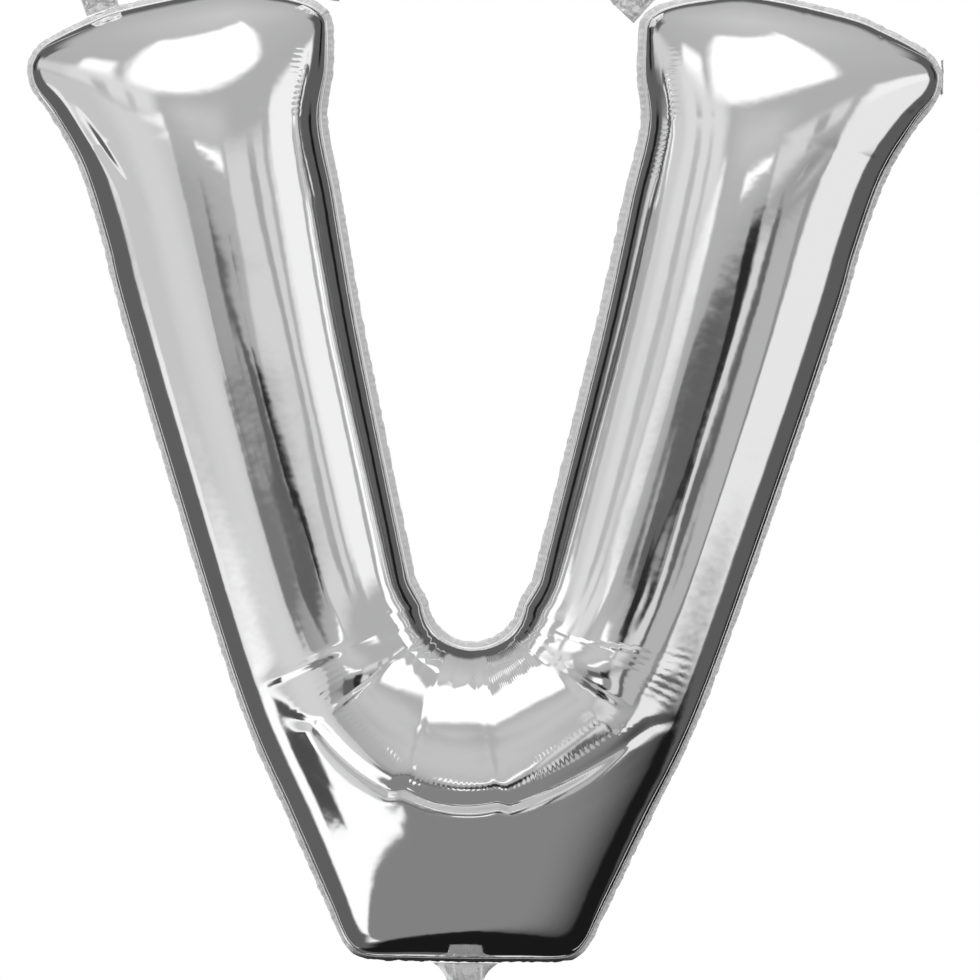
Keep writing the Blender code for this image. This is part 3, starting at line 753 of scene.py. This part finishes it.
front_finish = foil("front_foil", (0.93, 0.93, 0.935), 0.07, 1.0)
back_finish = foil("back_foil", (0.91, 0.91, 0.915), 0.075, 1.2)

# %% [markdown]
# ## The two sheets
# Each sheet is its own piece, as in the real balloon. Its skin ends at the weld line and goes on a little way
# between the two layers of the margin, so that no gap shows there. The sheets are made point by point on the
# grid, because every point already has its height.
# %% Building a sheet
SHEET_GAP = 0.0003
TUCK = 0.0010


def ring_outwards(line, distance):
    """A closed line moved outwards."""
    along = np.roll(line, -1, axis=0) - np.roll(line, 1, axis=0)
    along /= np.linalg.norm(along, axis=1)[:, None]
    x, z = line[:, 0], line[:, 1]
    turning = np.sign(np.sum(x * np.roll(z, -1) - np.roll(x, -1) * z))
    return line + turning * distance * np.column_stack([along[:, 1], -along[:, 0]])


def swayed(flat):
    out = np.array(flat, float)
    out[..., 0] += SWAY * out[..., 1]
    return out


rim = [(0, c) for c in range(COLUMNS)] + [(r, COLUMNS - 1) for r in range(1, ROWS)]
rim += [(ROWS - 1, c) for c in range(COLUMNS - 2, -1, -1)] + [(r, 0) for r in range(ROWS - 2, 0, -1)]
rim = np.array(rim)
weld = swayed(plan)[rim[:, 0], rim[:, 1]]


def store(obj, label, values):
    """Keeps one number for each point, for a material to read."""
    layer = obj.data.attributes.new(label, "FLOAT", "POINT")
    layer.data.foreach_set("value", np.asarray(values, np.float32))


def mesh_of(name, points, faces, finish):
    mesh = bpy.data.meshes.new(name)
    mesh.from_pydata(points.tolist(), [], faces.tolist())
    mesh.materials.append(finish)
    mesh.shade_smooth()
    mesh.update()
    return placed(name, mesh)


def facing(faces, points, side):
    """The faces, turned over if most of their area looks away from their side."""
    a, b, c = (points[faces[:, k]] for k in range(3))
    return faces[:, ::-1] if np.sum(np.cross(b - a, c - a)[:, 1]) * side < 0.0 else faces


def sheet(name, side, height, ticks, finish):
    flat = swayed(plan)
    y = side * (0.5 * SHEET_GAP + height)
    points = np.stack([flat[..., 0], y, flat[..., 1]], -1).reshape(-1, 3)
    tuck = ring_outwards(weld, TUCK)
    tuck_y = np.full(len(tuck), side * 0.5 * SHEET_GAP)
    points = np.vstack([points, np.column_stack([tuck[:, 0], tuck_y, tuck[:, 1]])])
    index = np.arange(ROWS * COLUMNS).reshape(ROWS, COLUMNS)
    quads = np.stack([index[:-1, :-1], index[1:, :-1], index[1:, 1:], index[:-1, 1:]], -1).reshape(-1, 4)
    inner = index[rim[:, 0], rim[:, 1]]
    outer = ROWS * COLUMNS + np.arange(len(rim))
    hem = np.stack([inner, np.roll(inner, -1), np.roll(outer, -1), outer], -1)
    faces = np.vstack([facing(quads, points, side), facing(hem, points, side)])
    made = mesh_of(name, points, faces, finish)
    for label, values in (("running", running), ("ticks", ticks)):
        store(made, label, np.concatenate([values.ravel(), np.zeros(len(rim))]))
    return made


# %% [markdown]
# The ticks show in five places: in two rows along the foot of the fan, beside the inner weld of both heads,
# below the right head, on both shoulders of the fan, and on the ring of gathers to the right of the notch.
# %% Ticks, and the two sheets
def tick_map():
    """Where the fine ticks show, from 0 to 1."""
    patchy = 0.5 + 0.5 * hills(running / 0.013, turn_round / 8.0, 41)
    fade = window(fan_angle, -60.0, 52.0, 3.0) * (0.3 + 0.7 * patchy)
    rows = 0.10 * window(along_section, 0.146, 0.149, 0.002) * fade
    rows = rows + 0.13 * window(along_section, 0.160, 0.166, 0.002) * fade * (fan_angle > -22.0)
    heads = 0.30 * window(up_z, 0.742, 0.805, 0.004) * np.exp(-(((turn_round - 37.0) / 3.0) ** 2)) * patchy
    inner = 0.14 * window(up_z, 0.69, 0.735, 0.006) * np.exp(-(((turn_round - 31.0) / 3.5) ** 2)) * is_right
    shoulder = window(fan_angle, 61.0, 76.0, 3.0) * window(from_notch, 0.15, 0.195, 0.01)
    shoulder = shoulder + window(fan_angle, -64.0, -56.0, 3.0) * window(from_notch, 0.13, 0.18, 0.01)
    shoulder = 0.12 * shoulder * patchy
    notch = 0.2 * window(fan_angle, 12.0, 48.0, 4.0) * window(from_notch, 0.055, 0.078, 0.005)
    return np.clip(rows + heads + inner + shoulder + notch, 0.0, 1.0)


ticks = tick_map()
front_skin = sheet("front_foil_sheet", -1.0, front_rise, ticks, front_finish)
back_skin = sheet("back_foil_sheet", 1.0, back_rise, ticks[::-1], back_finish)
for skin, node, slot in ((front_skin, "front_sheet", "front_foil"), (back_skin, "back_sheet", "back_foil")):
    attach(skin, "balloon")
    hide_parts(node)
    print(skin.name, len(skin.data.polygons), "faces")

# %% [markdown]
# ## Helpers for Geometry Nodes
# The margin and the tabs follow a rule, so node trees make them. A tree gets named inputs, the modifier's
# values are set by each socket's identifier, and the result is turned into a plain mesh before it is used.
# %% Geometry Nodes helpers
def new_tree(name, *labels):
    tree = bpy.data.node_groups.new(name, "GeometryNodeTree")
    tree.interface.new_socket("Geometry", in_out="OUTPUT", socket_type="NodeSocketGeometry")
    tree.interface.new_socket("Geometry", in_out="INPUT", socket_type="NodeSocketGeometry")
    for label in labels:
        tree.interface.new_socket(label, in_out="INPUT", socket_type="NodeSocketFloat")
    maker = Maker(tree)
    entry = tree.nodes.new("NodeGroupInput")
    return tree, maker, {socket.name: Wire(maker, socket) for socket in entry.outputs if socket.name}


def end_tree(maker, geometry, finish):
    real = maker.node("GeometryNodeRealizeInstances", {}, {0: geometry})
    painted = maker.node("GeometryNodeSetMaterial", {}, {"Geometry": real, "Material": finish})
    out = maker.tree.nodes.new("NodeGroupOutput")
    maker.tree.links.new(painted.socket, out.inputs[0])


def grown(source, tree, values, name):
    """Runs a tree on an object and returns the result as a plain mesh object."""
    modifier = source.modifiers.new(tree.name, "NODES")
    modifier.node_group = tree
    for item in tree.interface.items_tree:
        if item.in_out == "INPUT" and item.name in values:
            modifier[item.identifier] = values[item.name]
    source.update_tag()
    bpy.context.view_layer.update()
    shown = source.evaluated_get(bpy.context.evaluated_depsgraph_get())
    mesh = bpy.data.meshes.new_from_object(shown)
    mesh.name = name
    bpy.data.objects.remove(source, do_unlink=True)
    return placed(name, mesh)


def thickened(obj, thickness):
    """Gives a flat film its thickness, half to each side, as a plain and smoothly shaded mesh."""
    film = obj.modifiers.new("film", "SOLIDIFY")
    film.thickness = thickness
    film.offset = 0.0
    shown = obj.evaluated_get(bpy.context.evaluated_depsgraph_get())
    mesh = bpy.data.meshes.new_from_object(shown)
    obj.modifiers.clear()
    old, obj.data = obj.data, mesh
    bpy.data.meshes.remove(old)
    mesh.shade_smooth()


# %% [markdown]
# ## Duller foil for margin, neck and tabs
# Where both layers lie flat together, the film was heated and pressed: it is milkier than the skin, with fine
# lines across it from the welding bar. The neck and the tabs are the same double film, crumpled by handling.
# Along the bottom the margin's colour is painted nearly black, as painted shade for the dark that its bottom
# edge shows.
# %% Welded foil finishes
# Painted shade: the nearly black colour painted on the bottom of the margin, and how fast it fades in.
PAINTED_SHADE_TONE = (0.06, 0.06, 0.06, 1.0)
PAINTED_SHADE_FADE = 0.012


def welded_foil(name, colour, roughness, metallic, line_pitch, line_height, crumple, painted_shade_below=None):
    made, maker, place = new_finish(name)
    patches = maker.noise(place, 130.0, 3.0)
    folds = maker.folds(place, 150.0)
    phase = (maker.stored("running") + patches * 0.002) * (tau / line_pitch)
    bar = maker.node("ShaderNodeMath", {"operation": "SINE"}, {0: phase})
    height = bar * line_height + folds * crumple + patches * (0.6 * crumple)
    base = maker.node("ShaderNodeMix", {"data_type": "RGBA"},
                      {0: patches, 6: (*(c * 0.90 for c in colour), 1.0), 7: (*colour, 1.0)}, output=2)
    # Painted shade: below this height the margin's colour fades to nearly black.
    if painted_shade_below is not None:
        up_here = maker.node("ShaderNodeSeparateXYZ", {}, {0: place}, output=2)
        pale = maker.step(up_here + patches * 0.004, painted_shade_below, painted_shade_below + PAINTED_SHADE_FADE)
        base = maker.node("ShaderNodeMix", {"data_type": "RGBA"}, {0: pale, 6: PAINTED_SHADE_TONE, 7: base}, output=2)
    surface = maker.node("ShaderNodeBsdfPrincipled", {}, {
        "Base Color": base, "Roughness": (patches * 0.16 + (roughness - 0.08)).clamped(),
        "Metallic": metallic, "Normal": maker.bump(height)})
    maker.finish("ShaderNodeOutputMaterial", surface)
    return made


# The margin gets its painted shade below four millimetres.
margin_finish = welded_foil("welded_margin", (1.0, 1.0, 1.0), 0.40, 0.45, 0.0060, 0.00008, 0.0003,
                             painted_shade_below=0.004)
neck_finish = welded_foil("neck_foil", (0.94, 0.94, 0.94), 0.28, 0.8, 0.0060, 0.00006, 0.0003)
tab_finish = welded_foil("tab_foil", (1.0, 1.0, 1.0), 0.16, 0.65, 0.0090, 0.00004, 0.0002)

# %% [markdown]
# ## The welded margin
# All round the letter a band sticks out beyond the weld, six millimetres wide in the notch and four round the
# outside. It isn't a clean strip: the film beside the weld is drawn in, so the band waves back and forth and
# its edge comes and goes. A curve on the weld line carries a flat profile, its radius carries the width, and
# two noises on the running length push the band about, more towards the free edge than at the weld.
# %% Margin tree
def margin_tree():
    tree, maker, given = new_tree("welded margin", "Width", "Tuck", "Spacing", "Wave", "Fray", "Pitch",
                                  "Seed")

    def kept(geometry, name, value, kind="FLOAT"):
        return maker.node("GeometryNodeStoreNamedAttribute", {"data_type": kind, "domain": "POINT"},
                          {"Geometry": geometry, "Name": name, "Value": value})

    def read(name, kind="FLOAT"):
        return maker.node("GeometryNodeInputNamedAttribute", {"data_type": kind}, {"Name": name})

    def noise(along, across, detail):
        place = maker.node("ShaderNodeCombineXYZ", {}, {0: along, 1: across})
        return maker.noise(place, 1.0, detail, {"noise_dimensions": "2D"})

    line = maker.node("GeometryNodeResampleCurve", {"mode": "LENGTH"},
                      {"Curve": given["Geometry"], "Length": given["Spacing"]})
    line = kept(line, "running", maker.node("GeometryNodeSplineParameter", output=1))
    line = kept(line, "broad", maker.node("GeometryNodeInputRadius"))
    outward = maker.node("ShaderNodeVectorMath", {"operation": "CROSS_PRODUCT"},
                         {0: maker.node("GeometryNodeInputTangent"), 1: (0.0, 1.0, 0.0)})
    line = kept(line, "outward", outward, "FLOAT_VECTOR")
    profile = maker.node("GeometryNodeCurvePrimitiveLine", {},
                         {"Start": (0.0, 0.0, 0.0), "End": (0.001, 0.0, 0.0)})
    profile = maker.node("GeometryNodeResampleCurve", {"mode": "COUNT"}, {"Curve": profile, "Count": 6})
    profile = kept(profile, "outness", maker.node("GeometryNodeSplineParameter", output=0))
    profile = maker.node("GeometryNodeSetPosition", {}, {"Geometry": profile, "Position": (0.0, 0.0, 0.0)})
    band = maker.node("GeometryNodeCurveToMesh", {}, {"Curve": line, "Profile Curve": profile})
    outness, run, broad = read("outness"), read("running"), read("broad")
    out_way = read("outward", "FLOAT_VECTOR")
    wave = noise(run / given["Pitch"], given["Seed"], 1.0)
    fray = noise(run / given["Pitch"] * 1.6, given["Seed"] + 9.5, 2.0)
    width = given["Width"] * broad + given["Tuck"] + (fray - 0.5) * 2.0 * given["Fray"]
    far = outness * width - given["Tuck"]
    sideways = (wave - 0.5) * 2.0 * given["Wave"] * maker.step(outness, 0.30, 1.0)
    moved = maker.node("ShaderNodeVectorMath", {"operation": "SCALE"}, {0: out_way, "Scale": far})
    lifted = maker.node("ShaderNodeCombineXYZ", {}, {1: sideways})
    offset = maker.node("ShaderNodeVectorMath", {"operation": "ADD"}, {0: moved, 1: lifted})
    band = maker.node("GeometryNodeSetPosition", {}, {"Geometry": band, "Offset": offset})
    end_tree(maker, band, margin_finish)
    return tree


# %% [markdown]
# The band is grown on the weld line. Its width, tuck and waves change sign with the way that the line runs
# round, so that it always sticks out of the letter. Its two welded layers are half a millimetre thick.
# %% Margin piece
MARGIN_THICKNESS = 0.0005
MARGIN_TUCK, MARGIN_WAVE, MARGIN_FRAY = 0.0015, 0.0013, 0.0013
MARGIN_SPACING, MARGIN_PITCH, MARGIN_SEED = 0.0012, 0.011, 4.0
weld_curve = bpy.data.curves.new("weld_line", "CURVE")
weld_curve.dimensions = "3D"
spline = weld_curve.splines.new("POLY")
spline.points.add(len(weld) - 1)
spline.points.foreach_set("co", np.column_stack(
    [weld[:, 0], np.zeros(len(weld)), weld[:, 1], np.ones(len(weld))]).astype(np.float32).ravel())
narrowing = (1.0 - OUTER_MARGIN / INNER_MARGIN) * rim[:, 1] / (COLUMNS - 1)
spline.points.foreach_set("radius", (1.0 - narrowing).tolist())
spline.use_cyclic_u = True
weld_object = placed("weld_line", weld_curve)
x, z = weld[:, 0], weld[:, 1]
clockwise = np.sum(x * np.roll(z, -1) - np.roll(x, -1) * z) < 0.0
sign = 1.0 if clockwise else -1.0
margin = grown(weld_object, margin_tree(), {
    "Width": sign * INNER_MARGIN, "Tuck": sign * MARGIN_TUCK, "Wave": sign * MARGIN_WAVE,
    "Fray": sign * MARGIN_FRAY, "Spacing": MARGIN_SPACING, "Pitch": MARGIN_PITCH, "Seed": MARGIN_SEED,
}, "welded_margin_band")
thickened(margin, MARGIN_THICKNESS)
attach(margin, "balloon")
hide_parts("seam_flange")
print("margin faces", len(margin.data.polygons), "box", [round(v, 3) for v in margin.dimensions])

# %% [markdown]
# ## Filling neck
# A flat tube hangs from the bottom weld. It is wide where it leaves the letter, narrow below, and creased
# lengthwise where it was gathered for tying. Rings of points round a flattened oval, with the creases added
# as random hills that are stretched down the tube, give the shape, and a second set of rings inside makes the
# thin wall, so the mouth is open.
# %% Neck
NECK_GAP = 0.0008
NECK_LENGTH = 0.070
NECK_WIDTH = 0.032
NECK_ROOT_WIDTH = 0.060
NECK_FLARE = 0.018
NECK_DEPTH = 0.0086
NECK_FILM = 0.0006
NECK_RINGS, NECK_SIDES = 70, 144
NECK_CLOSED_RINGS = 6
# Height of the creases, their width, their length down the tube, how far they slant, seed
NECK_CREASES = ((0.0011, 0.0060, 0.045, 30.0, 32), (0.0006, 0.0030, 0.030, -40.0, 33))


def neck_ring(down, shrink):
    turns = np.linspace(0.0, tau, NECK_SIDES, endpoint=False)
    flare = max(0.0, 1.0 - down / NECK_FLARE) ** 2
    wide = 0.5 * (NECK_WIDTH + (NECK_ROOT_WIDTH - NECK_WIDTH) * flare) - shrink
    wide += 0.0006 * float(hills(np.array(down / 0.012), np.array(0.5), 31))
    puff = sin(min(1.0, (down + 0.004) / NECK_FLARE) * 0.5 * pi)
    deep = 0.5 * NECK_DEPTH * (0.30 + 0.62 * puff) - shrink
    x = wide * np.cos(turns)
    gathers = sum(size * hills(x / pitch + 20.0 + down * lean, down / length + (turns > pi) * 9.0, seed)
                  for size, pitch, length, lean, seed in NECK_CREASES)
    y = deep * np.sin(turns) + gathers * np.abs(np.sin(turns)) ** 0.6 * (1.0 - 0.6 * shrink / NECK_FILM)
    ragged = 0.0010 * hills(x / 0.009 + 5.0, np.full_like(x, 0.5), 34) * (down > 0.98 * NECK_LENGTH)
    return np.column_stack([x, y, np.full_like(x, -down) + ragged])


def neck_mesh():
    downs = NECK_GAP + (NECK_LENGTH - 0.0012) * np.linspace(0.0, 1.0, NECK_RINGS) ** 1.15
    outside = [neck_ring(down, 0.0) for down in downs]
    inside = [neck_ring(down, NECK_FILM) for down in downs[NECK_CLOSED_RINGS:]]
    rings = np.array(outside + inside[::-1])
    index = np.arange(len(rings) * NECK_SIDES).reshape(len(rings), NECK_SIDES)
    over = np.roll(index, -1, axis=1)
    quads = np.stack([index[:-1], over[:-1], over[1:], index[1:]], -1).reshape(-1, 4)
    made = mesh_of("neck_tube", rings.reshape(-1, 3), quads, neck_finish)
    caps = bmesh.new()
    caps.from_mesh(made.data)
    caps.verts.ensure_lookup_table()
    caps.faces.new([caps.verts[i] for i in index[0][::-1]])
    caps.faces.new([caps.verts[i] for i in index[-1]])
    bmesh.ops.recalc_face_normals(caps, faces=caps.faces)
    caps.to_mesh(made.data)
    caps.free()
    store(made, "running", rings.reshape(-1, 3)[:, 0])
    return made


neck = neck_mesh()
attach(neck, "neck")
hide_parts("filling_neck")
print("neck faces", len(neck.data.polygons))

# %% [markdown]
# The valve is a flat double film inside the neck's root. Its CAD shape is right, so it keeps its place and
# gets a clear film finish with the faint lines of its own weld.
# %% Valve film finish
def clear_film():
    made, maker, place = new_finish("valve_film")
    lines = maker.node("ShaderNodeTexWave", {"bands_direction": "X"},
                       {"Vector": place, "Scale": 90.0, "Distortion": 1.5})
    haze = maker.noise(place, 200.0, 2.0)
    height = lines * 0.0001 + haze * 0.0002
    surface = maker.node("ShaderNodeBsdfPrincipled", {}, {
        "Base Color": (0.90, 0.92, 0.94, 1.0), "Roughness": haze * 0.2 + 0.08, "Alpha": haze * 0.2 + 0.45,
        "Normal": maker.bump(height)})
    maker.finish("ShaderNodeOutputMaterial", surface)
    return made


valve = frame["nodes"]["valve_film"]
valve.data.materials.clear()
valve.data.materials.append(clear_film())

# %% [markdown]
# ## Hanging tabs
# Four foil tabs with a punched hole stand on the margin at the top corners, for hanging the letter up. They
# are limp double film, so they crumple. One flat patch, a plate with a round hole, is the start for all four;
# a node tree crumples it with its own seed, more towards the free end, and each is then set on its fold line.
# %% Tab patch and crumpling tree
TAB_WIDTH = 0.030
TAB_LENGTH = 0.034
TAB_CORNER = 0.008
TAB_HOLE_RADIUS = 0.003
TAB_HOLE_HEIGHT = 0.022
TAB_FILM = 0.0005
FOLD_GAP = 0.0009
TAB_RINGS, TAB_SIDES = 15, 72


def tab_patch(name):
    """Rings of points from the hole out to the tab's edge, lying in the XZ plane."""
    half, root = 0.5 * TAB_WIDTH, 0.5 * FOLD_GAP
    corners = [(half - TAB_CORNER + TAB_CORNER * cos(a), TAB_LENGTH - TAB_CORNER + TAB_CORNER * sin(a))
               for a in np.linspace(0.0, 0.5 * pi, 7)]
    edge = [(half, root)] + corners + [(-x, z) for x, z in corners[::-1]] + [(-half, root), (half, root)]
    edge = share_of_length(np.array(edge), np.linspace(0.0, 1.0, TAB_SIDES + 1)[:-1])
    hole = np.array([0.0, TAB_HOLE_HEIGHT])
    away = edge - hole
    away /= np.linalg.norm(away, axis=1)[:, None]
    rings = [hole + TAB_HOLE_RADIUS * away + share * (edge - hole - TAB_HOLE_RADIUS * away)
             for share in np.linspace(0.0, 1.0, TAB_RINGS) ** 1.2]
    points = np.array(rings).reshape(-1, 2)
    index = np.arange(len(points)).reshape(TAB_RINGS, TAB_SIDES)
    over = np.roll(index, -1, axis=1)
    quads = np.stack([index[:-1], index[1:], over[1:], over[:-1]], -1).reshape(-1, 4)
    return mesh_of(name, np.column_stack([points[:, 0], 0.0 * points[:, 0], points[:, 1]]), quads, tab_finish)


def crumple_tree():
    tree, maker, given = new_tree("crumpled tab", "Height", "Size", "Seed")
    place = maker.node("GeometryNodeInputPosition")
    up_here = maker.node("ShaderNodeSeparateXYZ", {}, {0: place}, output=2)
    grip = maker.step(up_here, 0.001, 0.016)
    shifted = maker.node("ShaderNodeVectorMath", {"operation": "ADD"}, {
        0: place, 1: maker.node("ShaderNodeCombineXYZ", {}, {0: given["Seed"], 1: given["Seed"] * 1.7})})
    big = maker.noise(shifted, 1.0 / given["Size"], 1.0)
    folds = maker.folds(shifted, 1.6 / given["Size"])
    lift = ((big - 0.5) * 2.4 + (folds - 0.25) * 1.1) * given["Height"] * grip
    moved = maker.node("GeometryNodeSetPosition", {}, {
        "Geometry": given["Geometry"], "Offset": maker.node("ShaderNodeCombineXYZ", {}, {1: lift})})
    end_tree(maker, moved, tab_finish)
    return tree


# %% [markdown]
# Each tab leans its own way, read from the photograph. The right outer one is folded back over the margin.
# %% Tabs
CRUMPLE_HEIGHT, CRUMPLE_SIZE = 0.0022, 0.011
TABS = (
    # body, lean from upright in degrees, fold out of the letter's plane in degrees, seed
    ("tab_left_outer", -20.0, 0.0, 1.3), ("tab_left_inner", 8.0, 0.0, 2.9),
    ("tab_right_inner", -48.0, 0.0, 4.1), ("tab_right_outer", 90.0, 90.0, 5.6),
)
fold_places = {joint["child"]: joint["pos_m"] for joint in frame["joints"]}
crumpling = crumple_tree()
for body, lean, fold, seed in TABS:
    values = {"Height": CRUMPLE_HEIGHT, "Size": CRUMPLE_SIZE, "Seed": seed}
    tab = grown(tab_patch(body + "_flat"), crumpling, values, body + "_film")
    thickened(tab, TAB_FILM)
    tab.data.transform(Matrix.Translation(fold_places[body]) @ Matrix.Rotation(radians(lean), 4, "Y")
                       @ Matrix.Rotation(radians(-fold), 4, "X"))
    store(tab, "running", [v.co.x for v in tab.data.vertices])
    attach(tab, body)
    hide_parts(body)
    print(tab.name, len(tab.data.polygons), "faces")
